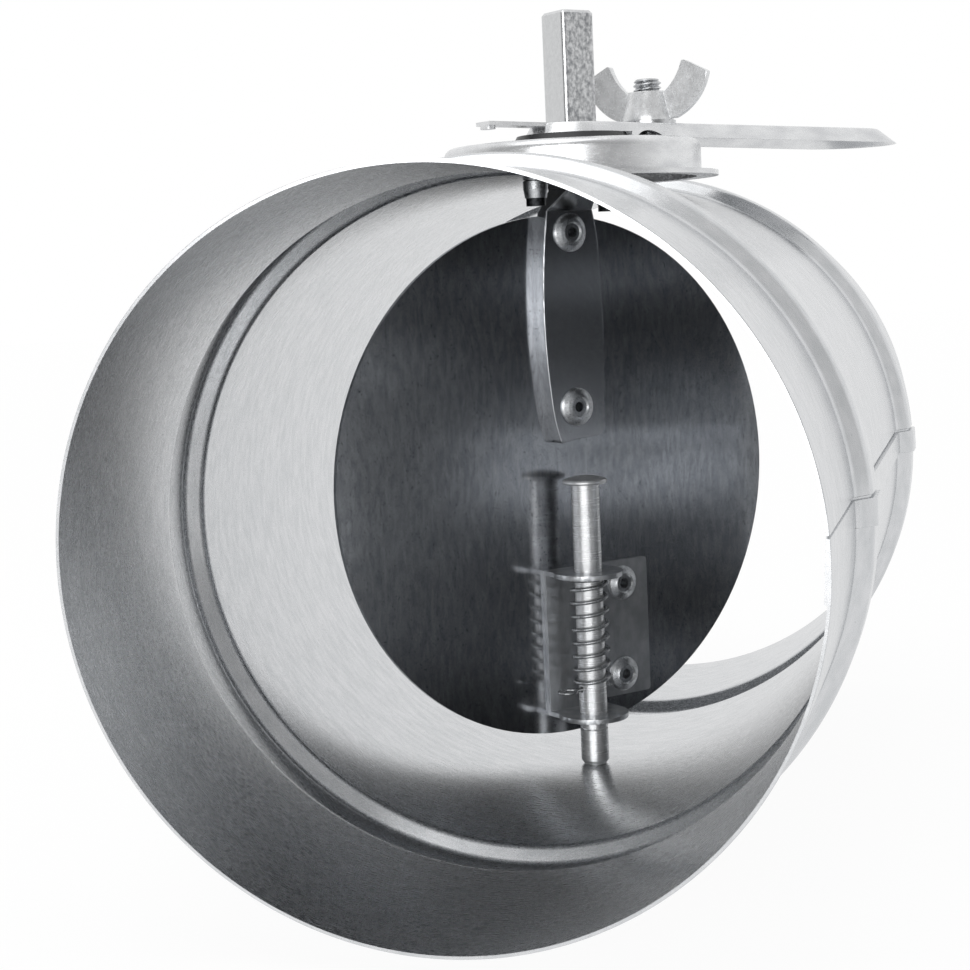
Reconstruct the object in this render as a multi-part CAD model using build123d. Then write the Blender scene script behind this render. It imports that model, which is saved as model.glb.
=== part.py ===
from build123d import *
import os

# Round volume control damper for a 125 mm duct, in millimetres and degrees.
# The duct runs along Y and the blade turns about Z. The origin is where those two axes cross.
# Everything that turns is drawn with the blade shut (its face towards -Y, the lever towards +X),
# and then turned together to the stored blade angle.

# Duct body: one rolled sheet with two swaged beads and a lapped long seam
DUCT_R = 62.5            # outside radius of the sheet
SHEET = 0.6
NEAR_END = -116.0        # Y of the two open ends
FAR_END = 100.0
BEADS_Y = (-65.8, 52.0)  # centres of the two beads
BEAD_HALF = 7.3          # half width at the root of a bead
BEAD_FLAT = 4.6          # half width of its flat crest
BEAD_H = 3.0
LAP_FROM = -0.2          # the welded lap runs between these angles above +X
LAP_TO = 4.0
LAP_OVER = 0.1           # it ends at the feet of the beads: the spigots are planished flush for their sockets
BORE_R = DUCT_R - SHEET

# Blade
BLADE_ANGLE = 48.9       # stored angle from shut
BLADE_R = 56.0
BLADE_T = 1.0
BLADE_SET = 7.7          # the blade's front face lies this far behind the shaft axis

# Drive shaft: square bar, forged flat into a tang that is riveted to the blade
SQUARE = 8.0
SQUARE_EDGE = 0.9        # rounding of the bar's long edges
SHAFT_TOP = 97.3
BAR_END = 61.0           # the bar joggles back to the blade below this height
TANG_TOP = 56.8
TANG_T = 3.3
TANG_LEFT = -4.0         # the tang's sides where it leaves the joggle
TANG_RIGHT = 8.0

# Handle base: pressed cup on the crest of the duct
BASE_T = 1.0
BASE_BOTTOM = DUCT_R
BASE_TOP = 70.2
BASE_BEND = 1.8          # radius of the cup's drawn edge
CUP_R = 26.7
FLANGE_R = 30.2
EAR_Y = 33.0             # rivet ears fore and aft
EAR_W = 14.0
SLOT_R = 20.5            # centre line of the arc slot, and the clamp bolt's distance from the shaft
SLOT_W = 6.5
SLOT_OVER = 4.5          # the slot runs this many degrees past the bolt's two end positions

# Shaft bush
BUSH_R = 7.9             # sleeve
BUSH_HOLE_R = 7.97       # holes that the sleeve turns in
BUSH_FOOT_R = 12.5
BUSH_HEAD_R = 11.4
BUSH_FOOT = BASE_TOP + 0.05
BUSH_HEAD = 72.2
BUSH_END = 61.2

# Lever: pressed tray, open downwards
LEVER_TOP = 74.4         # height of its top at the shaft
LEVER_T = 1.0
LEVER_H = 3.1            # overall, lips included
LEVER_DIP = 1.1          # the lever leans down towards its grip by this angle
LEVER_BOSS_R = 10.0
GRIP_R = 12.0
GRIP_X = 77.4
LEVER_DRAFT = 1.8        # how far the lips lean in from foot to top
NOSE_DRAFT = 5.0         # the same at the nose of the grip
ARCH_X = 13.0            # shallow arch in the lips beside the clamp bolt
TAIL_X = -22.0           # end of the pointer
TAIL_W = 5.0
TAIL_T = 0.8

# Clamp bolt, washer and wing nut
BOLT_R = 3.0
BOLT_TOP = 84.0
BOLT_HEAD_R = 4.6
BOLT_HEAD_H = 3.0
BOLT_NECK = 5.7          # square under the head
WASHER_R = 5.9
WASHER_BOTTOM = 74.15
WASHER_TOP = 75.05
NUT_TOP = 81.2
NUT_FOOT_R = 5.4
NUT_HEAD_R = 4.1
NUT_BORE_R = 3.07
WING_T = 1.7
WING_ANGLE = -15.0       # stored direction of the wings, from +X

# Bracket on the blade that guides the pivot pin
PLATE_T = 1.0
PLATE_LEFT = -6.5
PLATE_RIGHT = 21.0
PLATE_TOP = -19.8
PLATE_BOTTOM = -50.0
EAR_R = 7.5
LOWER_EAR = -51.6        # underside of the lower ear
GUIDE_R = 3.07

# Pivot pin, its spring and its split pin
PIN_R = 3.0
PIN_HEAD_R = 4.75
PIN_HEAD_UNDER = -0.9
PIN_HEAD_RIM = 0.9
PIN_HEAD_CROWN = 0.85
PIN_SHOULDER = -61.75
PIN_TIP = -63.5
SPIGOT_R = 2.0
SPIGOT_HOLE_R = 2.07
GROOVE_Z = -53.9
SPLIT_Z = -45.2          # split pin through the pivot pin
SPLIT_R = 0.65
SPLIT_HOLE_R = 0.7
EYE_R = 1.9
EYE_X = -6.6
SPLIT_TAIL_X = 4.9
WIRE_R = 0.4
COIL_R = 3.75
COIL_TOP = -21.25
COIL_BOTTOM = -43.95
COIL_TURNS = 8.25

# Blind rivets
SHANK_R = 2.0
TAIL_L = 3.4
TANG_RIVETS = {"upper": (1.7, 52.2), "lower": (1.9, 15.1)}
BRACKET_RIVETS = {"upper": (13.9, -24.9), "lower": (13.6, -45.3)}
BASE_RIVETS = {"near": -EAR_Y, "far": EAR_Y}

BACK_OF_BLADE = BLADE_SET + BLADE_T
BLADE_FACE = Plane.XZ.offset(-BLADE_SET)          # local x is the blade's width, local y is up


def set_angle(shape):
    """Turn a piece drawn with the blade shut to the stored blade angle."""
    return Rot(0, 0, BLADE_ANGLE) * shape


def upright(radius, low, high, x=0.0, y=0.0):
    """A vertical round bar or drill between two heights."""
    return Pos(x, y, (low + high) / 2) * Cylinder(radius, high - low)


def through_blade(radius, place):
    """A drill through everything that is riveted to the blade, from front to back."""
    return Plane.XZ * Pos(place[0], place[1], -BLADE_SET) * Cylinder(radius, 30)


# ---------------------------------------------------------------- housing

def sheet_line(radius, near, far):
    """The run of one skin of the sheet from near to far, stepping out over both beads."""
    points = [(radius, near)]
    for centre in BEADS_Y:
        points += [
            (radius, centre - BEAD_HALF),
            (radius + BEAD_H, centre - BEAD_FLAT),
            (radius + BEAD_H, centre + BEAD_FLAT),
            (radius, centre + BEAD_HALF),
        ]
    points.append((radius, far))
    return points


def sheet_section(inner, outer, near=NEAR_END, far=FAR_END):
    """The sheet's section between two radii, ready to revolve about the duct axis."""
    return make_face(Polyline(
        *sheet_line(inner, near, far), *reversed(sheet_line(outer, near, far)), close=True))


def duct_body():
    tube = revolve(sheet_section(BORE_R, DUCT_R), Axis.Y, 360)
    ends = BEADS_Y[0] - BEAD_HALF - LAP_OVER, BEADS_Y[1] + BEAD_HALF + LAP_OVER
    lap = revolve(sheet_section(DUCT_R - SHEET / 2, DUCT_R + SHEET, *ends), Axis.Y, LAP_TO - LAP_FROM)
    tube += Rot(0, -LAP_TO, 0) * lap
    tube -= upright(BUSH_HOLE_R, 50, 70)
    tube -= upright(SPIGOT_HOLE_R, -70, -50)
    for y in BASE_RIVETS.values():
        tube -= upright(SHANK_R, 50, 70, y=y)
    return tube


def handle_base():
    inside = CUP_R - BASE_T
    flange_top = BASE_BOTTOM + BASE_T
    ceiling = BASE_TOP - BASE_T
    section = make_face(Polyline(
        (BUSH_HOLE_R, ceiling), (inside - 0.7, ceiling), (inside, ceiling - 0.7), (inside, BASE_BOTTOM),
        (FLANGE_R, BASE_BOTTOM), (FLANGE_R, flange_top), (CUP_R, flange_top), (CUP_R, BASE_TOP),
        (BUSH_HOLE_R, BASE_TOP), close=True))
    cup = revolve(Plane.XZ * section, Axis.Z, 360)
    rim = cup.edges().filter_by(GeomType.CIRCLE).filter_by(lambda edge: abs(edge.radius - CUP_R) < 0.01)
    cup = fillet(rim.sort_by(Axis.Z)[-1], BASE_BEND)
    ears = Rot(0, 0, 90) * SlotCenterToCenter(2 * EAR_Y, EAR_W) - Circle(CUP_R - 0.5)
    cup += extrude(Pos(0, 0, BASE_BOTTOM) * ears, BASE_T)
    for y in BASE_RIVETS.values():
        cup -= upright(SHANK_R, 60, 66, y=y)
    slot = SlotArc(CenterArc((0, 0), SLOT_R, -SLOT_OVER, 90 + 2 * SLOT_OVER), SLOT_W)
    cup -= extrude(Pos(0, 0, ceiling - 1) * slot, BASE_T + 2)
    cup -= Rot(0, 0, 21) * Pos(CUP_R, 0, BASE_TOP - 2.4) * Rot(0, 90, 0) * Cylinder(0.7, 4)
    return cup


def rivet_body(grip, head_r, tail_r=2.9):
    """Set blind rivet: its head stands on z = 0 and its bulbed tail hangs below the grip."""
    bore, crown, end = 1.1, 1.35, -grip - TAIL_L
    section = make_face(Polyline(
        (bore, end), (bore, crown - 0.4), (1.9, crown - 0.4), (2.2, crown), (head_r - 1.2, crown - 0.25),
        (head_r - 0.3, crown - 0.75), (head_r, 0.3), (head_r, 0), (SHANK_R, 0), (SHANK_R, -grip),
        (tail_r, -grip - 0.2), (tail_r, -grip - TAIL_L / 2), (2.1, end), close=True))
    return revolve(Plane.XZ * section, Axis.Z, 360)


def rivet_mandrel(grip, stub):
    """What stays of the mandrel: a stem broken off at height stub, and its ball in the tail."""
    low = -grip - TAIL_L
    stem = upright(1.08, low, stub)
    return stem + upright(1.9, low - 1.5, low)


def base_rivet(y, piece):
    grip = BASE_BOTTOM + BASE_T - BORE_R + 0.05
    return Pos(0, y, BASE_BOTTOM + BASE_T) * piece(grip)


def blade_rivet(place, stack, piece):
    """Stand a rivet on the front of a stack of the given thickness on the blade."""
    seat = Plane.XZ * Pos(place[0], place[1], stack - BLADE_SET)
    return set_angle(seat * piece(stack + BLADE_T))


# ---------------------------------------------------------------- blade and shaft

def blade():
    disc = extrude(Plane.XZ.offset(-BACK_OF_BLADE) * Circle(BLADE_R), BLADE_T)
    for place in list(TANG_RIVETS.values()) + list(BRACKET_RIVETS.values()):
        disc -= through_blade(SHANK_R, place)
    return set_angle(disc)


def tang_outline():
    """Forged outline, bowed on its free side and cut back at the lower corner."""
    edges = [
        ThreePointArc((TANG_LEFT, TANG_TOP), (-5.7, 37.5), (-4.6, 17.5)),
        ThreePointArc((-4.6, 17.5), (-3.8, 12.4), (-2.6, 8.2)),
        ThreePointArc((-2.6, 8.2), (-2.3, 7.7), (-1.7, 7.5)),
        Line((-1.7, 7.5), (2.4, 8.2)),
        Line((2.4, 8.2), (8.2, 8.5)),
        ThreePointArc((8.2, 8.5), (9.1, 9.4), (9.3, 11.4)),
        ThreePointArc((9.3, 11.4), (9.9, 28.0), (9.4, 46.0)),
        ThreePointArc((9.4, 46.0), (9.0, 51.6), (TANG_RIGHT, TANG_TOP)),
        Line((TANG_RIGHT, TANG_TOP), (TANG_LEFT, TANG_TOP)),
    ]
    return make_face(Wire([edge.edge() for edge in edges]))


def drive_shaft():
    square = RectangleRounded(SQUARE, SQUARE, SQUARE_EDGE)
    bar = extrude(Pos(0, 0, BAR_END) * square, SHAFT_TOP - BAR_END)
    bar = chamfer(bar.faces().sort_by(Axis.Z)[-1].edges(), 0.6)
    middle = (TANG_LEFT + TANG_RIGHT) / 2
    foot = Pos(middle, BLADE_SET - TANG_T / 2, TANG_TOP) * RectangleRounded(
        TANG_RIGHT - TANG_LEFT, TANG_T, 0.5)
    joggle = loft([foot, Pos(0, 0, BAR_END) * square])
    tang = extrude(BLADE_FACE * tang_outline(), TANG_T)
    front = tang.faces().sort_by(Axis.Y)[0]
    tang = fillet([e for e in front.edges() if e.center().Z < TANG_TOP - 0.5], 0.3)
    shaft = bar + joggle + tang
    for place in TANG_RIVETS.values():
        shaft -= through_blade(SHANK_R, place)
    return set_angle(shaft)


def shaft_bush():
    section = make_face(Polyline(
        (0, BUSH_END), (BUSH_R, BUSH_END), (BUSH_R, BUSH_FOOT), (BUSH_FOOT_R, BUSH_FOOT),
        (BUSH_HEAD_R, BUSH_HEAD), (0, BUSH_HEAD), close=True))
    bush = revolve(Plane.XZ * section, Axis.Z, 360)
    bore = extrude(Pos(0, 0, BUSH_END - 1) * RectangleRounded(SQUARE + 0.06, SQUARE + 0.06, 0.8), 20)
    return set_angle(bush - bore)


# ---------------------------------------------------------------- lever and clamp

def lever_outline(inset, nose_inset):
    """The lever seen from above: a boss and a wider grip, joined by tangent sides."""
    grip_r = GRIP_R - inset
    nose = GRIP_X + GRIP_R - nose_inset
    return make_hull((Circle(LEVER_BOSS_R - inset) + Pos(nose - grip_r, 0) * Circle(grip_r)).edges())


def lever():
    lean = (LEVER_H - LEVER_T) / LEVER_H
    tray = loft([
        Pos(0, 0, -LEVER_H) * lever_outline(0, 0),
        lever_outline(LEVER_DRAFT, NOSE_DRAFT),
    ])
    tray = fillet(tray.faces().sort_by(Axis.Z)[-1].edges(), 0.6)
    tray -= loft([
        Pos(0, 0, -LEVER_H) * lever_outline(LEVER_T, LEVER_T),
        Pos(0, 0, -LEVER_T) * lever_outline(LEVER_T + LEVER_DRAFT * lean, LEVER_T + NOSE_DRAFT * lean),
    ])
    tray -= Pos(ARCH_X, 0, -LEVER_H - 3.6) * Rot(90, 0, 0) * Cylinder(5.0, 40)
    tail = Pos((TAIL_X - 7.0) / 2, 0, -TAIL_T) * Rectangle(-7.0 - TAIL_X, TAIL_W)
    tray += extrude(tail, TAIL_T)
    pip = Pos(TAIL_X + 1.2, 0, -1.5) * RectangleRounded(2.4, TAIL_W - 1.6, 1.0)
    tray += extrude(pip, 1.2)
    tray = Pos(0, 0, LEVER_TOP) * Rot(0, LEVER_DIP, 0) * tray
    tray -= upright(BUSH_FOOT_R + 0.4, 68, BUSH_HEAD + 0.05)
    tray -= extrude(Pos(0, 0, 68) * RectangleRounded(SQUARE + 0.1, SQUARE + 0.1, 0.8), 10)
    tray -= extrude(Pos(SLOT_R, 0, 68) * Rectangle(BOLT_NECK + 0.1, BOLT_NECK + 0.1), 5.0)
    tray -= upright(BOLT_R + 0.1, 68, 80, x=SLOT_R)
    return set_angle(tray)


def clamp_bolt():
    ceiling = BASE_TOP - BASE_T - 0.1
    head = upright(BOLT_HEAD_R, ceiling - BOLT_HEAD_H, ceiling, x=SLOT_R)
    head = chamfer(head.edges().sort_by(Axis.Z)[0], 1.2)
    neck = extrude(Pos(SLOT_R, 0, ceiling) * Rectangle(BOLT_NECK, BOLT_NECK), 3.2)
    stem = chamfer(upright(BOLT_R, ceiling, BOLT_TOP, x=SLOT_R).edges().sort_by(Axis.Z)[-1], 0.6)
    return set_angle(head + neck + stem)


def clamp_washer():
    ring = upright(WASHER_R, WASHER_BOTTOM, WASHER_TOP, x=SLOT_R)
    return set_angle(ring - upright(BOLT_R + 0.15, 70, 80, x=SLOT_R))


def wing_outline():
    """One wing, seen square on: local x runs out from the thread, local y is the height."""
    low = WASHER_TOP + 0.3
    wing = make_face(Wire([edge.edge() for edge in [
        Line((2.6, low), (6.6, low)),
        ThreePointArc((6.6, low), (11.4, 78.7), (14.3, 84.5)),
        Line((14.3, 84.5), (8.5, 87.5)),
        ThreePointArc((8.5, 87.5), (6.6, 83.4), (4.0, NUT_TOP - 0.4)),
        Line((4.0, NUT_TOP - 0.4), (2.6, NUT_TOP - 1.4)),
        Line((2.6, NUT_TOP - 1.4), (2.6, low)),
    ]]))
    return fillet(wing.vertices().filter_by(lambda corner: corner.Y > NUT_TOP), 0.6)


def wing_nut():
    section = make_face(Polyline(
        (0, WASHER_TOP), (NUT_FOOT_R, WASHER_TOP), (NUT_FOOT_R, WASHER_TOP + 0.8),
        (NUT_HEAD_R + 0.3, NUT_TOP - 1.6), (NUT_HEAD_R, NUT_TOP), (0, NUT_TOP), close=True))
    nut = revolve(Plane.XZ * section, Axis.Z, 360)
    wing = extrude(Plane.XZ * wing_outline(), WING_T / 2, both=True)
    nut += wing + Rot(0, 0, 180) * wing
    nut -= upright(NUT_BORE_R, 70, 95)
    return set_angle(Pos(SLOT_R, 0, 0) * Rot(0, 0, WING_ANGLE - BLADE_ANGLE) * nut)


# ---------------------------------------------------------------- pivot pin and its bracket

def bracket_ear(underside):
    """A round-nosed tab that stands out from the blade about the pivot axis."""
    root = Pos((PLATE_LEFT + EAR_R) / 2, BLADE_SET / 2) * Rectangle(EAR_R - PLATE_LEFT, BLADE_SET)
    return extrude(Pos(0, 0, underside) * (Circle(EAR_R) + root), PLATE_T)


def pin_bracket():
    width = PLATE_RIGHT - PLATE_LEFT
    plate = Pos((PLATE_LEFT + PLATE_RIGHT) / 2, (PLATE_TOP + PLATE_BOTTOM) / 2) * RectangleRounded(
        width, PLATE_TOP - PLATE_BOTTOM, 0.8)
    web = Pos((PLATE_LEFT + EAR_R) / 2, (PLATE_TOP + LOWER_EAR) / 2) * Rectangle(
        EAR_R - PLATE_LEFT, PLATE_TOP - LOWER_EAR)
    bracket = extrude(BLADE_FACE * (plate + web), PLATE_T)
    bracket += bracket_ear(PLATE_TOP - PLATE_T) + bracket_ear(LOWER_EAR)
    bracket -= upright(GUIDE_R, -60, -10)
    for place in BRACKET_RIVETS.values():
        bracket -= through_blade(SHANK_R, place)
    return set_angle(bracket)


def pivot_pin():
    crown = PIN_HEAD_UNDER + PIN_HEAD_RIM
    section = make_face(Polyline(
        (0, PIN_TIP), (SPIGOT_R - 0.4, PIN_TIP), (SPIGOT_R, PIN_TIP + 0.4), (SPIGOT_R, PIN_SHOULDER),
        (PIN_R - 0.6, PIN_SHOULDER), (PIN_R, PIN_SHOULDER + 0.9), (PIN_R, GROOVE_Z - 0.25),
        (PIN_R - 0.25, GROOVE_Z), (PIN_R, GROOVE_Z + 0.25), (PIN_R, PIN_HEAD_UNDER),
        (PIN_HEAD_R - 0.2, PIN_HEAD_UNDER), (PIN_HEAD_R, PIN_HEAD_UNDER + 0.3), (PIN_HEAD_R, crown - 0.3),
        (PIN_HEAD_R - 0.2, crown), (0, crown), close=True))
    pin = revolve(Plane.XZ * section, Axis.Z, 360)
    flat = PIN_HEAD_R - 0.2
    dome_r = (flat**2 + PIN_HEAD_CROWN**2) / (2 * PIN_HEAD_CROWN)
    dome = Pos(0, 0, crown + PIN_HEAD_CROWN - dome_r) * Sphere(dome_r)
    pin += dome & upright(flat, crown - 0.1, crown + 2)
    pin -= Pos(0, 0, SPLIT_Z) * Rot(0, 90, 0) * Cylinder(SPLIT_HOLE_R, 10)
    return set_angle(pin)


def split_pin():
    eye = Pos(EYE_X, 0, SPLIT_Z) * Torus(EYE_R, WIRE_R)
    start = EYE_X + EYE_R
    legs = Pos((start + SPLIT_TAIL_X) / 2, 0, SPLIT_Z) * Rot(0, 90, 0) * Cylinder(
        SPLIT_R, SPLIT_TAIL_X - start)
    return set_angle(legs + eye)


def pin_spring():
    height = COIL_TOP - COIL_BOTTOM
    line = Pos(0, 0, COIL_BOTTOM) * Helix(height / COIL_TURNS, height, COIL_R)
    wire = Plane(origin=line @ 0, z_dir=line % 0) * RegularPolygon(WIRE_R, 6)
    return set_angle(sweep(wire, path=line, is_frenet=True))


# ---------------------------------------------------------------- all nodes

def build():
    nodes = {
        "duct_body": duct_body(),
        "handle_base": handle_base(),
        "blade": blade(),
        "drive_shaft": drive_shaft(),
        "shaft_bush": shaft_bush(),
        "lever": lever(),
        "clamp_bolt": clamp_bolt(),
        "clamp_washer": clamp_washer(),
        "wing_nut": wing_nut(),
        "pin_bracket": pin_bracket(),
        "pivot_pin": pivot_pin(),
        "split_pin": split_pin(),
        "pin_spring": pin_spring(),
    }
    for name, y in BASE_RIVETS.items():
        nodes[f"base_rivet_{name}"] = base_rivet(y, lambda grip: rivet_body(grip, 4.0, 2.4))
        nodes[f"base_mandrel_{name}"] = base_rivet(y, lambda grip: rivet_mandrel(grip, 0.2))
    for name, place in TANG_RIVETS.items():
        stub = {"upper": -1.2, "lower": 0.7}[name]
        nodes[f"tang_rivet_{name}"] = blade_rivet(place, TANG_T, lambda grip: rivet_body(grip, 4.1))
        nodes[f"tang_mandrel_{name}"] = blade_rivet(place, TANG_T, lambda grip: rivet_mandrel(grip, stub))
    for name, place in BRACKET_RIVETS.items():
        nodes[f"bracket_rivet_{name}"] = blade_rivet(place, PLATE_T, lambda grip: rivet_body(grip, 3.8))
        nodes[f"bracket_mandrel_{name}"] = blade_rivet(
            place, PLATE_T, lambda grip: rivet_mandrel(grip, -0.6))
    return nodes


os.makedirs("parts", exist_ok=True)
for node, shape in build().items():
    export_step(shape, f"parts/{node}.step")
    print(node, round(shape.volume, 1))
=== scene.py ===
import math

import bmesh
import bpy
from mathutils import Matrix, Vector


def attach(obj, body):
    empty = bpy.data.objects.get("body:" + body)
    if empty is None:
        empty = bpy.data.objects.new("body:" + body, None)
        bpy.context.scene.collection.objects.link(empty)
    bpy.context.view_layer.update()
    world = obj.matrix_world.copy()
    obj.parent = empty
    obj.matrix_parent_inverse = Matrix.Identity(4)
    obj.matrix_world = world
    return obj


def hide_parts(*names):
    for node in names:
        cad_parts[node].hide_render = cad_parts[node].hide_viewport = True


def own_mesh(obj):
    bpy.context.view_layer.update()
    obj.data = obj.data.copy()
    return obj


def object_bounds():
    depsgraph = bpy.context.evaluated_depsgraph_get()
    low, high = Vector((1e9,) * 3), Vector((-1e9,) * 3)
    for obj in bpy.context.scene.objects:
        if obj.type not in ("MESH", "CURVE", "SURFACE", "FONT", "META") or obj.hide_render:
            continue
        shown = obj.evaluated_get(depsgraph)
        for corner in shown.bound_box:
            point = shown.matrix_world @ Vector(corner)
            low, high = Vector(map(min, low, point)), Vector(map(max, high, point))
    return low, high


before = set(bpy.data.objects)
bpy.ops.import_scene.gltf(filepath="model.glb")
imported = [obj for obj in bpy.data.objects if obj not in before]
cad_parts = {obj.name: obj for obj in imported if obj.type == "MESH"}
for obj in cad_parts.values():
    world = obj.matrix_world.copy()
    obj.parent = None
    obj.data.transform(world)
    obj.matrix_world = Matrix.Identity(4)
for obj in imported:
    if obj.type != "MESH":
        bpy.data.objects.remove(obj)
rest_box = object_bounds()

# A round volume control damper of zinc coated steel, in metres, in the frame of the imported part.
# The duct runs along Y and the blade turns about Z. The origin is where the two axes cross.
MM = 0.001

# The blade's stored angle from shut, and the directions across its face and out of its front
BLADE_ANGLE = math.radians(48.9)
ACROSS = Vector((math.cos(BLADE_ANGLE), math.sin(BLADE_ANGLE), 0))
OUT = Vector((math.sin(BLADE_ANGLE), -math.cos(BLADE_ANGLE), 0))


# ------------------------------------------------------------------ colour and nodes

# Nearly all values of a noise texture lie between these two
NOISE_LOW, NOISE_HIGH = 0.3, 0.7


def linear(hex_colour):
    """An sRGB hex value as linear RGBA."""
    channels = [int(hex_colour[i:i + 2], 16) / 255 for i in (1, 3, 5)]
    return tuple(c / 12.92 if c <= 0.04045 else ((c + 0.055) / 1.055) ** 2.4 for c in channels) + (1.0,)


def add_node(tree, kind, inputs=None, **settings):
    """Add a node, set its attributes, and give each named input a value or the socket that feeds it."""
    node = tree.nodes.new(kind)
    for name, value in settings.items():
        setattr(node, name, value)
    for name, value in (inputs or {}).items():
        if isinstance(value, bpy.types.NodeSocket):
            tree.links.new(value, node.inputs[name])
        else:
            node.inputs[name].default_value = value
    return node


def new_material(name):
    """An empty node material with its output."""
    material = bpy.data.materials.new(name)
    material.use_nodes = True
    material.node_tree.nodes.clear()
    output = add_node(material.node_tree, "ShaderNodeOutputMaterial")
    return material, material.node_tree, output


def grain(tree, size_mm, detail=3.0, rough=0.55):
    """Noise whose grains are size_mm long in X, Y and Z of the part."""
    place = add_node(tree, "ShaderNodeTexCoord").outputs["Object"]
    scaled = add_node(tree, "ShaderNodeVectorMath", {0: place, 1: [1 / (s * MM) for s in size_mm]},
                      operation="MULTIPLY")
    noise = add_node(tree, "ShaderNodeTexNoise", {
        "Vector": scaled.outputs[0], "Scale": 1.0, "Detail": detail, "Roughness": rough})
    return noise.outputs["Fac"]


def stretch(tree, value, low, high, out_low=0.0, out_high=1.0):
    """Map the part of a value between low and high onto another range."""
    return add_node(tree, "ShaderNodeMapRange", {
        "Value": value, "From Min": low, "From Max": high,
        "To Min": out_low, "To Max": out_high}).outputs[0]


def metal(name, dark, light, roughness, tone_grain, fine_grain, bump_mm=0.0, rough_swing=0.06,
          specks=None, haze=0.0, haze_rough=0.6, rolled=0.0):
    """A bare or zinc coated metal: two tones drawn by one grain, roughness and relief by a finer one.

    Grains are sizes in mm along X, Y and Z. specks are dark pits: their size in mm, share and colour.
    haze is the share of the surface that is pitted and spreads light, and haze_rough its roughness.
    rolled stretches the shine along Y, as scratches that run round a tube do.
    """
    material, tree, output = new_material(name)
    dark_below, light_above = 0.35, 0.65
    broad = stretch(tree, grain(tree, tone_grain), dark_below, light_above)
    fine = grain(tree, fine_grain, detail=4.0)
    colour = add_node(tree, "ShaderNodeMix", {"Factor": broad, 6: linear(dark), 7: linear(light)},
                      data_type="RGBA").outputs[2]
    if specks:
        size, share, tint = specks
        soft_edge = 0.05
        spots = grain(tree, (size, size, size), detail=0.0)
        dots = stretch(tree, spots, 1 - share, 1 - share + soft_edge)
        colour = add_node(tree, "ShaderNodeMix", {"Factor": dots, 6: colour, 7: linear(tint)},
                          data_type="RGBA").outputs[2]
    shader = add_node(tree, "ShaderNodeBsdfPrincipled", {
        "Base Color": colour,
        "Metallic": 1.0,
        "Roughness": stretch(tree, fine, NOISE_LOW, NOISE_HIGH,
                             roughness - rough_swing, roughness + rough_swing),
    })
    if bump_mm:
        relief = add_node(tree, "ShaderNodeBump", {
            "Height": fine, "Distance": bump_mm * MM, "Strength": 1.0}).outputs[0]
        tree.links.new(relief, shader.inputs["Normal"])
    if rolled:
        quarter_turn = 0.25
        around = add_node(tree, "ShaderNodeTangent", direction_type="RADIAL", axis="Y").outputs[0]
        tree.links.new(around, shader.inputs["Tangent"])
        shader.inputs["Anisotropic"].default_value = rolled
        shader.inputs["Anisotropic Rotation"].default_value = quarter_turn
    surface = shader.outputs[0]
    if haze:
        pitted = add_node(tree, "ShaderNodeBsdfPrincipled", {
            "Base Color": colour, "Metallic": 1.0, "Roughness": haze_rough}).outputs[0]
        surface = add_node(tree, "ShaderNodeMixShader", {0: haze, 1: surface, 2: pitted}).outputs[0]
    tree.links.new(surface, output.inputs[0])
    return material


def drawn_bar(name):
    """Zinc plated bar: a crystal mottle above the duct on the faces square to OUT, smooth elsewhere."""
    material, tree, output = new_material(name)
    crystal_mm, relief_mm = (0.8, 0.8, 1.1), 0.02
    # How far a face has to turn towards OUT, and how high it has to stand, before it is mottled
    turned_from, turned_to = 0.6, 0.95
    mottled_from, mottled_to = 58 * MM, 64 * MM
    # The heights over which the painted shade inside the duct, darkest on the tang, turns to the bar's own
    # tone
    painted_shade_full_below, painted_shade_gone_above = 54 * MM, 60 * MM
    coordinates = add_node(tree, "ShaderNodeTexCoord").outputs
    facing = add_node(tree, "ShaderNodeVectorMath", {0: coordinates["Normal"], 1: OUT},
                      operation="DOT_PRODUCT").outputs["Value"]
    square_on = add_node(tree, "ShaderNodeMath", {0: facing}, operation="ABSOLUTE").outputs[0]
    height = add_node(tree, "ShaderNodeSeparateXYZ", {0: coordinates["Object"]}).outputs["Z"]
    mottled = add_node(tree, "ShaderNodeMath", {
        0: stretch(tree, square_on, turned_from, turned_to, 0.12, 1.0),
        1: stretch(tree, height, mottled_from, mottled_to, 0.15, 1.0)}, operation="MULTIPLY").outputs[0]
    crystals = grain(tree, crystal_mm, detail=4.0, rough=0.65)
    tones = add_node(tree, "ShaderNodeMix", {
        "Factor": stretch(tree, crystals, 0.36, 0.64), 6: linear("#8E9093"), 7: linear("#DEDFE0")},
        data_type="RGBA").outputs[2]
    # Painted shade: the plain tone is darker downwards inside the duct
    plain = add_node(tree, "ShaderNodeMix", {
        "Factor": stretch(tree, height, painted_shade_full_below, painted_shade_gone_above), 6: linear("#AEB0B3"), 7: linear("#D2D3D4")},
        data_type="RGBA").outputs[2]
    colour = add_node(tree, "ShaderNodeMix", {"Factor": mottled, 6: plain, 7: tones},
                      data_type="RGBA").outputs[2]
    relief = add_node(tree, "ShaderNodeBump", {
        "Height": crystals, "Distance": relief_mm * MM,
        "Strength": stretch(tree, mottled, 0.0, 1.0, 0.1, 1.0)}).outputs[0]
    shader = add_node(tree, "ShaderNodeBsdfPrincipled", {
        "Base Color": colour, "Metallic": 1.0,
        "Roughness": stretch(tree, mottled, 0.0, 1.0, 0.22, 0.38), "Normal": relief})
    tree.links.new(shader.outputs[0], output.inputs[0])
    return material


def moulded_plastic(name, colour, roughness):
    """Dark moulded plastic with a faint moulding grain."""
    material, tree, output = new_material(name)
    fine = grain(tree, (0.4, 0.4, 0.4))
    swing = 0.05
    shader = add_node(tree, "ShaderNodeBsdfPrincipled", {
        "Base Color": linear(colour),
        "Roughness": stretch(tree, fine, NOISE_LOW, NOISE_HIGH, roughness - swing, roughness + swing),
    })
    tree.links.new(shader.outputs[0], output.inputs[0])
    return material


# ------------------------------------------------------------------ materials

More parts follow.
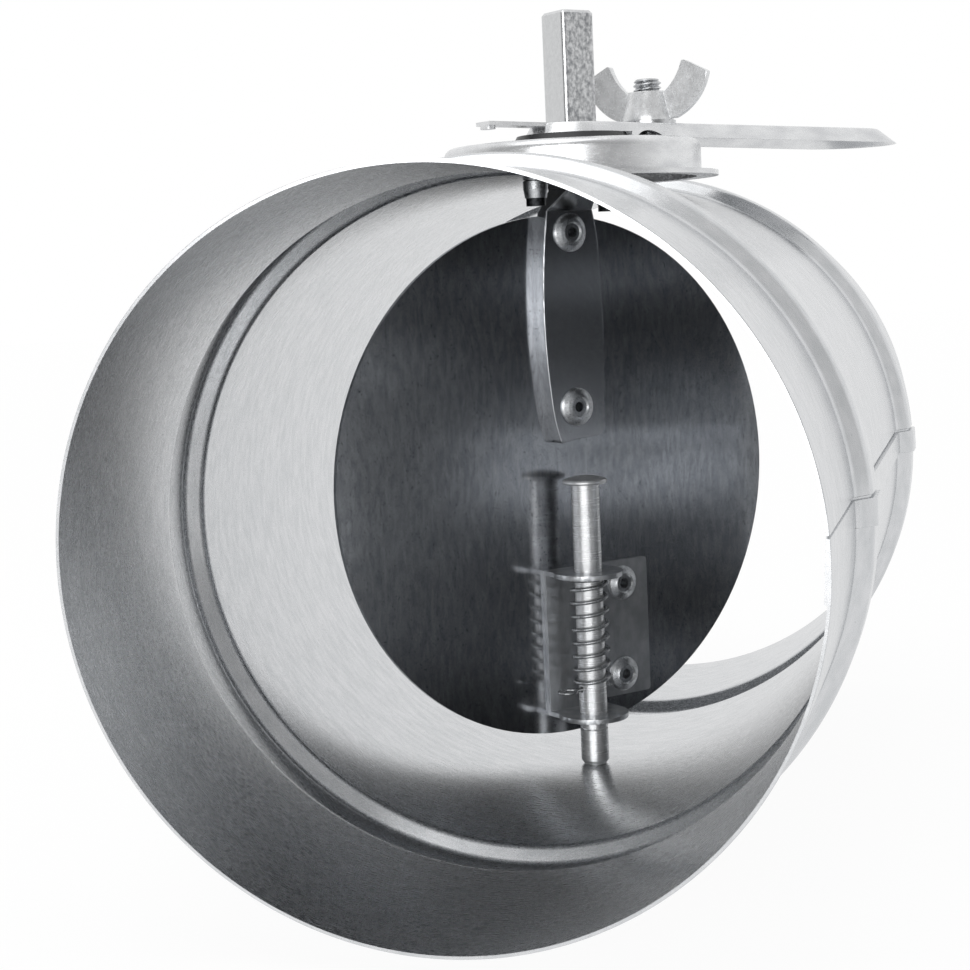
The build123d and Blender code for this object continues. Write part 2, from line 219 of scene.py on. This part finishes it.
# Hot dip zinc coated sheet, skin passed and rolled to a tube: a pale satin metal. The mill's fine
# scratches run round the tube, so they are long in X and Z and short in Y.
DUCT_SHEET = metal("zinc_coated_sheet", "#C9CBCD", "#D5D6D8", 0.27, (5, 1.6, 5), (1.2, 0.3, 1.2),
                   bump_mm=0.002, rough_swing=0.04, specks=(0.6, 0.18, "#BEC0C2"), rolled=0.3)
# The same sheet, flat and brighter: a cold mirror with an upright rolled grain and dark grit specks
BLADE_SHEET = metal("bright_rolled_sheet", "#94969A", "#ABADB0", 0.16, (1.2, 1.2, 4), (0.35, 0.35, 2.5),
                    bump_mm=0.003, rough_swing=0.05, specks=(0.42, 0.27, "#5C5F62"),
                    haze=0.06, haze_rough=0.5)
# Deep drawn steel, bright zinc plated: smooth and pale with soft cloudy tone
PRESSED_STEEL = metal("plated_pressed_steel", "#D2D3D5", "#E3E4E5", 0.26, (7, 7, 2.5), (1.5, 1.5, 0.5),
                      bump_mm=0.0015, haze=0.4, haze_rough=0.5)
# Cold drawn square bar, zinc plated: its broad faces are mottled above the duct, the tang is smooth
DRAWN_BAR = drawn_bar("plated_drawn_bar")
# Stamped plate that holds the pin: the same zinc coated sheet, its shine broken by the press
BRACKET_SHEET = metal("zinc_coated_plate", "#B4B6B9", "#CCCED0", 0.22, (3, 3, 5), (0.9, 0.9, 1.8),
                      bump_mm=0.0015, rough_swing=0.04, haze=0.5, haze_rough=0.6)
# Turned steel pin, zinc plated: fine rings from the tool
TURNED_STEEL = metal("plated_turned_steel", "#DCDDDE", "#ECEDEE", 0.26, (4, 4, 2), (5, 5, 0.3),
                     bump_mm=0.001, rough_swing=0.03, haze=0.5, haze_rough=0.65)
# Cold headed screw and washer and cast nut, zinc plated
HEADED_STEEL = metal("plated_headed_steel", "#A8AAAC", "#CFD0D2", 0.26, (1.5, 1.5, 1.5), (0.5, 0.5, 0.5),
                     bump_mm=0.003)
CAST_NUT = metal("plated_cast_steel", "#DDDEDF", "#EDEEEF", 0.26, (2.5, 2.5, 2.5), (0.8, 0.8, 0.8),
                 bump_mm=0.004, haze=0.6, haze_rough=0.7)
# Hard drawn spring wire: smooth, with the die's lines too fine to see
DRAWN_WIRE = metal("drawn_spring_wire", "#9A9C9E", "#BDBFC0", 0.25, (2, 2, 2), (0.3, 0.3, 0.3),
                   haze=0.4)
# Aluminium blind rivets, bright from heading, and the dull broken steel mandrels in them
RIVET_ALUMINIUM = metal("headed_aluminium", "#AEB0B2", "#C9CBCD", 0.3, (1.2, 1.2, 1.2), (0.25, 0.25, 0.25),
                        bump_mm=0.006)
BROKEN_STEEL = metal("broken_mandrel_steel", "#2E2F31", "#4C4E50", 0.42, (0.5, 0.5, 0.5), (0.2, 0.2, 0.2),
                     bump_mm=0.02)
BUSH_PLASTIC = moulded_plastic("moulded_dark_nylon", "#2A2B2D", 0.42)

FINISHES = {
    "duct_body": DUCT_SHEET,
    "handle_base": PRESSED_STEEL,
    "blade": BLADE_SHEET,
    "drive_shaft": DRAWN_BAR,
    "shaft_bush": BUSH_PLASTIC,
    "lever": PRESSED_STEEL,
    "clamp_bolt": HEADED_STEEL,
    "clamp_washer": HEADED_STEEL,
    "wing_nut": CAST_NUT,
    "pin_bracket": BRACKET_SHEET,
    "pivot_pin": TURNED_STEEL,
    "split_pin": DRAWN_WIRE,
    "pin_spring": DRAWN_WIRE,
}


def finish_of(node_name):
    """The material of a CAD node, rivets and their mandrels by the kind they are."""
    if "mandrel" in node_name:
        return BROKEN_STEEL
    if "rivet" in node_name:
        return RIVET_ALUMINIUM
    return FINISHES[node_name]


def dress_cad_nodes():
    """Give every CAD node its finish."""
    for name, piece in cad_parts.items():
        for material_slot in piece.material_slots:
            material_slot.material = finish_of(name)
        if not piece.material_slots:
            piece.data.materials.append(finish_of(name))


# ------------------------------------------------------------------ pieces drawn finer than the solids

# Points nearer than this to each other are joined
TOUCHING = 0.002 * MM


def new_piece(name, vertices, faces, material, body, smooth_deg):
    """A mesh piece in the part's frame that moves with a body. Edges sharper than smooth_deg stay crisp."""
    mesh = bpy.data.meshes.new(name)
    mesh.from_pydata([tuple(v) for v in vertices], [], faces)
    shape = bmesh.new()
    shape.from_mesh(mesh)
    bmesh.ops.remove_doubles(shape, verts=shape.verts, dist=TOUCHING)
    bmesh.ops.recalc_face_normals(shape, faces=shape.faces)
    for edge in shape.edges:
        edge.smooth = len(edge.link_faces) == 2 and edge.calc_face_angle(0) < math.radians(smooth_deg)
    for face in shape.faces:
        face.smooth = True
    shape.to_mesh(mesh)
    shape.free()
    mesh.materials.append(material)
    piece = bpy.data.objects.new(name, mesh)
    bpy.context.scene.collection.objects.link(piece)
    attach(piece, body)
    return piece


def ring_faces(rings, around, closed_ends=False):
    """Quads that join rings of the same number of points, and a cap on each end ring if asked."""
    faces = []
    for i in range(rings - 1):
        for j in range(around):
            k = (j + 1) % around
            faces.append((i * around + j, i * around + k, (i + 1) * around + k, (i + 1) * around + j))
    if closed_ends:
        faces.append(tuple(range(around)))
        faces.append(tuple((rings - 1) * around + j for j in range(around)))
    return faces


def rounded(profile, bend, steps=5):
    """A polyline whose inner corners are soft curves, about as wide as arcs of the bend radius."""
    points = [Vector(profile[0])]
    for before, corner, after in zip(profile, profile[1:], profile[2:]):
        before, corner, after = Vector(before), Vector(corner), Vector(after)
        a, b = (before - corner).normalized(), (after - corner).normalized()
        # A bend takes less than half of each run, so that two bends on a run don't meet
        share = 0.49
        longest = min((before - corner).length, (after - corner).length) * share
        reach = min(bend / math.tan(a.angle(b) / 2), longest)
        start, end = corner + a * reach, corner + b * reach
        for i in range(steps + 1):
            t = i / steps
            points.append(start * (1 - t) ** 2 + corner * (2 * t * (1 - t)) + end * t ** 2)
    points.append(Vector(profile[-1]))
    return points


def wire_along(path, radius, around=12):
    """Vertices and faces of a round wire along a list of points, with closed ends."""
    vertices = []
    side = None
    for i, here in enumerate(path):
        ahead = path[min(i + 1, len(path) - 1)] - path[max(i - 1, 0)]
        ahead.normalize()
        if side is None:
            side = ahead.orthogonal().normalized()
        side = (side - ahead * side.dot(ahead)).normalized()
        other = ahead.cross(side)
        for j in range(around):
            turn = 2 * math.pi * j / around
            vertices.append(here + (side * math.cos(turn) + other * math.sin(turn)) * radius)
    return vertices, ring_faces(len(path), around, closed_ends=True)


# The tube in mm, and its two beads by their middles, their half widths at foot and crest, and their height
OUTER_R, SHEET = 62.5, 0.6
NEAR_END, FAR_END = -116.0, 100.0
BEADS_Y, BEAD_HALF, BEAD_FLAT, BEAD_H = (-65.8, 52.0), 7.3, 4.6, 3.0
# The soft bends of the outer and inner skin, where the rolls turned the metal, and the rims' broken edge
OUTER_BEND, INNER_BEND, RIM_BREAK = 2.0, 2.2, 0.12
# The welded lap in degrees above +X: its outer sheet's two edges and its inner sheet's lower one
LAP_FROM, LAP_TO, UNDER_LAP = -0.2, 4.0, -5.0
# It ends this far past the outer feet of the beads, in mm, so that sockets slide on
LAP_OVER = 0.1
# The dark gap along its upper edge, in degrees past that edge
GAP_FROM, GAP_TO = 0.12, 0.4
# How far lap, gap and inner sheet leave the round, as shares of the sheet's thickness
LAP_PROUD, GAP_DEEP, UNDER_PROUD = 0.98, 0.75, 0.8
# Round holes in the tube, each by X, Y, Z and radius: for the bush, the pin's tip and the two base rivets
DUCT_HOLES = [(0, 0, 62, 7.97), (0, 0, -62, 2.07), (0, 33, 62, 2.0), (0, -33, 62, 2.0)]


def skin_line(radius, bend):
    """One skin of the duct's sheet as points of radius and Y."""
    points = [(radius, NEAR_END)]
    for centre in BEADS_Y:
        points += [(radius, centre - BEAD_HALF), (radius + BEAD_H, centre - BEAD_FLAT),
                   (radius + BEAD_H, centre + BEAD_FLAT), (radius, centre + BEAD_HALF)]
    points.append((radius, FAR_END))
    return rounded(points, bend)


def seam_shift(above, y, outside):
    """How far a skin of the tube stands off its round, in mm, at a Y and an angle above +X."""
    slack = 0.01
    lap_near = BEADS_Y[0] - BEAD_HALF - LAP_OVER
    lap_far = BEADS_Y[1] + BEAD_HALF + LAP_OVER
    if outside and lap_near < y < lap_far and LAP_FROM - slack < above < LAP_TO + slack:
        return SHEET * LAP_PROUD
    if outside and LAP_TO + GAP_FROM - slack < above < LAP_TO + GAP_TO + slack:
        return -SHEET * GAP_DEEP
    if not outside and UNDER_LAP - slack < above < LAP_TO:
        return -SHEET * UNDER_PROUD * min(1, 1 - above / LAP_TO)
    return 0


def rolled_duct():
    """The beaded tube, finer than the solid, with its bends and the steps and gap of its welded lap."""
    outer = skin_line(OUTER_R, OUTER_BEND)
    inner = skin_line(OUTER_R - SHEET, INNER_BEND)
    near_rim = [Vector((OUTER_R - RIM_BREAK, NEAR_END)), Vector((OUTER_R, NEAR_END + RIM_BREAK))]
    far_rim = [Vector((OUTER_R, FAR_END - RIM_BREAK)), Vector((OUTER_R - RIM_BREAK, FAR_END))]
    outer = near_rim + outer[1:-1] + far_rim
    profile = outer + list(reversed(inner))
    # Lines along the tube, in degrees: even ones, and one on each side of every step of the lap
    sides, first, step = 288, 0.5, 0.1
    seam = [UNDER_LAP - step, UNDER_LAP, LAP_FROM - step, LAP_FROM, LAP_TO,
            LAP_TO + GAP_FROM, LAP_TO + GAP_TO, LAP_TO + GAP_TO + GAP_FROM]
    turns = sorted([360 * k / sides + first for k in range(sides)] + [turn % 360 for turn in seam])
    vertices = []
    for turn in turns:
        above = (turn + 180) % 360 - 180
        for i, (radius, y) in enumerate(profile):
            radius += seam_shift(above, y, i < len(outer))
            vertices.append((radius * MM * math.cos(math.radians(turn)), y * MM,
                             radius * MM * math.sin(math.radians(turn))))
    around = len(profile)
    faces = ring_faces(len(turns), around)
    last = (len(turns) - 1) * around
    faces += [(last + j, last + (j + 1) % around, (j + 1) % around, j) for j in range(around)]
    duct = new_piece("rolled_duct", vertices, faces, DUCT_SHEET, "housing",
                     smooth_deg=28)
    cut_round_holes(duct, DUCT_HOLES)
    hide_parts("duct_body")


def cut_round_holes(piece, holes):
    """Cut upright holes, each given by its X, Y, Z and radius in mm."""
    cutter_mesh = bpy.data.meshes.new("hole_cutter")
    tool = bmesh.new()
    length = 8
    for x, y, z, radius in holes:
        bmesh.ops.create_cone(tool, cap_ends=True, segments=64, radius1=radius * MM, radius2=radius * MM,
                              depth=length * MM, matrix=Matrix.Translation(Vector((x, y, z)) * MM))
    tool.to_mesh(cutter_mesh)
    tool.free()
    cutter = bpy.data.objects.new("hole_cutter", cutter_mesh)
    bpy.context.scene.collection.objects.link(cutter)
    cut = piece.modifiers.new("holes", "BOOLEAN")
    cut.object = cutter
    cut.operation = "DIFFERENCE"
    cut.solver = "EXACT"
    bpy.context.view_layer.update()
    finished = bpy.data.meshes.new_from_object(piece.evaluated_get(bpy.context.evaluated_depsgraph_get()))
    piece.modifiers.clear()
    piece.data = finished
    bpy.data.objects.remove(cutter)


# The clamp bolt stands this far out along the lever
STUD = ACROSS * 20.5 * MM


def threaded_bolt():
    """The clamp bolt with its rolled M6 thread, 1 mm to the turn, on a plain shank that the slot hides."""
    pitch, depth, crest, shank, around = 1.0, 0.62, 3.0, 2.9, 48
    # The groove runs out at this share of the pitch on each side of its middle
    half_groove = 0.42
    head_r, head_low, head_top = 4.6, 66.1, 69.1
    thread_from, top, step, tip_chamfer = 72.4, 84.0, 0.125, 0.75
    head = [(0.01, head_low), (head_r - 1.2, head_low), (head_r - 0.3, head_low + 0.5),
            (head_r, head_low + 1.3), (head_r, head_top), (shank, head_top)]
    heights = [head_top, thread_from]
    heights += [thread_from + step * k for k in range(1, int((top - thread_from) / step) + 1)]
    vertices = []
    for radius, z in head:
        for j in range(around):
            turn = 2 * math.pi * j / around
            vertices.append(STUD + Vector((radius * math.cos(turn), radius * math.sin(turn), z)) * MM)
    for z in heights:
        for j in range(around):
            turn = 2 * math.pi * j / around
            radius = shank
            if z > thread_from:
                phase = (z / pitch - turn / (2 * math.pi)) % 1
                groove = 1 - min(1, abs(phase - 0.5) / half_groove)
                radius = min(crest - depth * groove, crest - tip_chamfer + (top - z))
            vertices.append(STUD + Vector((radius * math.cos(turn), radius * math.sin(turn), z)) * MM)
    faces = ring_faces(len(head) + len(heights), around, closed_ends=True)
    bolt = new_piece("threaded_bolt", vertices, faces, HEADED_STEEL, "blade_assembly",
                     smooth_deg=50)
    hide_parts("clamp_bolt")


def turned(point):
    """A place given with the blade shut, in mm, at the stored blade angle."""
    return Matrix.Rotation(BLADE_ANGLE, 3, "Z") @ Vector(point) * MM


def coil_spring():
    """The pin's compression spring, its last turns closed down at both ends."""
    wire, mean, low, high, turns = 0.4, 3.75, -43.95, -21.27, 8.75
    # The ends' closed turns rise by this share of an open turn
    end_turns, closed = 0.6, 0.22
    open_turns = turns - 2 * end_turns
    full = 2 * end_turns * closed + open_turns
    steps = int(turns * 40)
    path = []
    for k in range(steps + 1):
        t = k / steps * turns
        past_end = t - end_turns
        rise = min(t, end_turns) * closed + max(0, min(past_end, open_turns))
        rise += max(0, past_end - open_turns) * closed
        turn = 2 * math.pi * t
        height = low + (high - low) * rise / full
        path.append(turned((mean * math.cos(turn), mean * math.sin(turn), height)))
    vertices, faces = wire_along(path, wire * MM, 12)
    spring = new_piece("coil_spring", vertices, faces, DRAWN_WIRE, "blade_assembly",
                       smooth_deg=60)
    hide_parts("pin_spring")
    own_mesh(spring)


def folded_split_pin():
    """A wire folded to an eye, its two legs side by side through the pin and sprung apart at the tips."""
    z, wire, apart = -45.2, 0.32, 0.33
    eye_r, eye_x, eye_mouth, steps = 1.9, -6.6, 0.594, 24
    # One leg from its tip to the eye: X, and how far it lies from the middle
    leg = [(4.75, apart + 0.35), (3.6, apart), (0, apart), (-4.15, apart + 0.06), (-4.4, apart + 0.24)]
    start = math.asin(eye_mouth / eye_r)
    eye = []
    for k in range(steps + 1):
        turn = start + (2 * math.pi - 2 * start) * k / steps
        eye.append(turned((eye_x + eye_r * math.cos(turn), -eye_r * math.sin(turn), z)))
    upper = [turned((x, -off, z)) for x, off in leg]
    lower = [turned((x, off, z)) for x, off in reversed(leg)]
    vertices, faces = wire_along(upper + eye + lower, wire * MM, 10)
    piece = new_piece("folded_split_pin", vertices, faces, DRAWN_WIRE, "pivot_pin",
                      smooth_deg=60)
    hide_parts("split_pin")


def soften_edges(name, width_mm, sharper_than=35):
    """Break a piece's sharp edges by width_mm, or by what its narrowest facet leaves room for."""
    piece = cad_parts[name]
    weld = piece.modifiers.new("weld", "WELD")
    weld.merge_threshold = TOUCHING
    edge = piece.modifiers.new("broken_edges", "BEVEL")
    edge.width = width_mm * MM
    edge.segments = 2
    edge.limit_method = "ANGLE"
    edge.angle_limit = math.radians(sharper_than)
    even = piece.modifiers.new("even_shading", "WEIGHTED_NORMAL")
    even.keep_sharp = False


# ------------------------------------------------------------------ studio

def place_camera():
    """The camera stands in front, a little to the right and just above the duct's axis."""
    turn, rise, roll = (math.radians(angle) for angle in (15.789, 6.596, -2.562))
    back = Vector((math.sin(turn) * math.cos(rise), -math.cos(turn) * math.cos(rise), math.sin(rise)))
    right = Vector((math.cos(turn), math.sin(turn), 0))
    axes = Matrix((right, back.cross(right), back)).transposed() @ Matrix.Rotation(roll, 3, "Z")
    camera = bpy.data.objects.new("camera", bpy.data.cameras.new("camera"))
    bpy.context.scene.collection.objects.link(camera)
    camera.matrix_world = Matrix.Translation(Vector((88.43, -390.81, 45.94)) * MM) @ axes.to_4x4()
    camera.data.lens = 70.26
    camera.data.sensor_width = 36
    camera.data.clip_start = 0.01
    bpy.context.scene.camera = camera
    bpy.context.scene.view_settings.view_transform = "Standard"


def light_panel(name, place, aim, size, power):
    """A square soft box."""
    lamp = bpy.data.lights.new(name, "AREA")
    lamp.shape = "SQUARE"
    lamp.size = size
    lamp.energy = power
    panel = bpy.data.objects.new(name, lamp)
    bpy.context.scene.collection.objects.link(panel)
    panel.location = place
    panel.rotation_euler = (Vector(aim) - Vector(place)).to_track_quat("-Z", "Y").to_euler()


def seen_directly(tree):
    """1 for rays from the camera and for rays that metal or glass sends on, else 0."""
    path = add_node(tree, "ShaderNodeLightPath")
    camera_or_metal = add_node(tree, "ShaderNodeMath", {
        0: path.outputs["Is Camera Ray"], 1: path.outputs["Is Glossy Ray"]}, operation="MAXIMUM").outputs[0]
    return add_node(tree, "ShaderNodeMath", {
        0: camera_or_metal, 1: path.outputs["Is Transmission Ray"]}, operation="MAXIMUM").outputs[0]


def hang_screen():
    """A bowl of grey cloth open towards +Y, darkest behind the camera, which dims what metal mirrors."""
    radius = 1.6
    dark_y, rim_y = -0.75 * radius, 0.15 * radius
    dark_level, rim_level = 0.2, 1.0
    material, tree, output = new_material("grey_screen_cloth")
    place = add_node(tree, "ShaderNodeTexCoord").outputs["Object"]
    along = add_node(tree, "ShaderNodeSeparateXYZ", {0: place}).outputs["Y"]
    level = stretch(tree, along, dark_y, rim_y, dark_level, rim_level)
    cloth = add_node(tree, "ShaderNodeEmission", {"Color": linear("#FFFFFF"), "Strength": level})
    tree.links.new(cloth.outputs[0], output.inputs[0])
    bowl = bmesh.new()
    bmesh.ops.create_uvsphere(bowl, u_segments=48, v_segments=24, radius=radius)
    away = [face for face in bowl.faces
            if face.calc_center_median().y > rim_y or face.calc_center_median().z < rest_box[0].z]
    bmesh.ops.delete(bowl, geom=away, context="FACES")
    mesh = bpy.data.meshes.new("grey_screen")
    bowl.to_mesh(mesh)
    bowl.free()
    mesh.materials.append(material)
    screen = bpy.data.objects.new("grey_screen", mesh)
    bpy.context.scene.collection.objects.link(screen)
    screen.visible_camera = False
    screen.visible_shadow = False


def light_studio():
    """A white room with soft boxes above and in front."""
    world = bpy.data.worlds.new("studio")
    bpy.context.scene.world = world
    world.use_nodes = True
    tree = world.node_tree
    tree.nodes.clear()
    room = add_node(tree, "ShaderNodeBackground", {"Color": linear("#FFFFFF"), "Strength": 1.0})
    output = add_node(tree, "ShaderNodeOutputWorld")
    tree.links.new(room.outputs[0], output.inputs[0])
    light_panel("soft_box_above", place=(-0.1, -0.25, 0.75), aim=(0, 0, 0), size=0.6, power=1.9)
    light_panel("soft_box_front", place=(0.0, -1.0, 0.03), aim=(0, 0, 0), size=0.8, power=7.5)


def lay_floor():
    """A pale floor under the beads: most of it shines evenly, the rest is paint that keeps the shadow."""
    across, below, even_share = 6, 0.2 * MM, 0.93
    material, tree, output = new_material("pale_floor")
    paint = add_node(tree, "ShaderNodeBsdfPrincipled", {
        "Base Color": linear("#FAFAFA"), "Roughness": 0.9, "Specular IOR Level": 0.1})
    lit = add_node(tree, "ShaderNodeEmission", {"Color": linear("#FFFFFF"), "Strength": 1.0})
    share = add_node(tree, "ShaderNodeMath", {0: seen_directly(tree), 1: even_share},
                     operation="MULTIPLY").outputs[0]
    mixed = add_node(tree, "ShaderNodeMixShader", {0: share, 1: paint.outputs[0], 2: lit.outputs[0]})
    tree.links.new(mixed.outputs[0], output.inputs[0])
    bpy.ops.mesh.primitive_plane_add(size=across, location=(0, 0, rest_box[0].z - below))
    floor = bpy.context.object
    floor.name = "floor"
    floor.data.materials.append(material)


dress_cad_nodes()
rolled_duct()
threaded_bolt()
coil_spring()
folded_split_pin()
soften_edges("wing_nut", 0.35)
soften_edges("pin_bracket", 0.15)
soften_edges("drive_shaft", 0.25)
soften_edges("lever", 0.15)
place_camera()
hang_screen()
light_studio()
lay_floor()
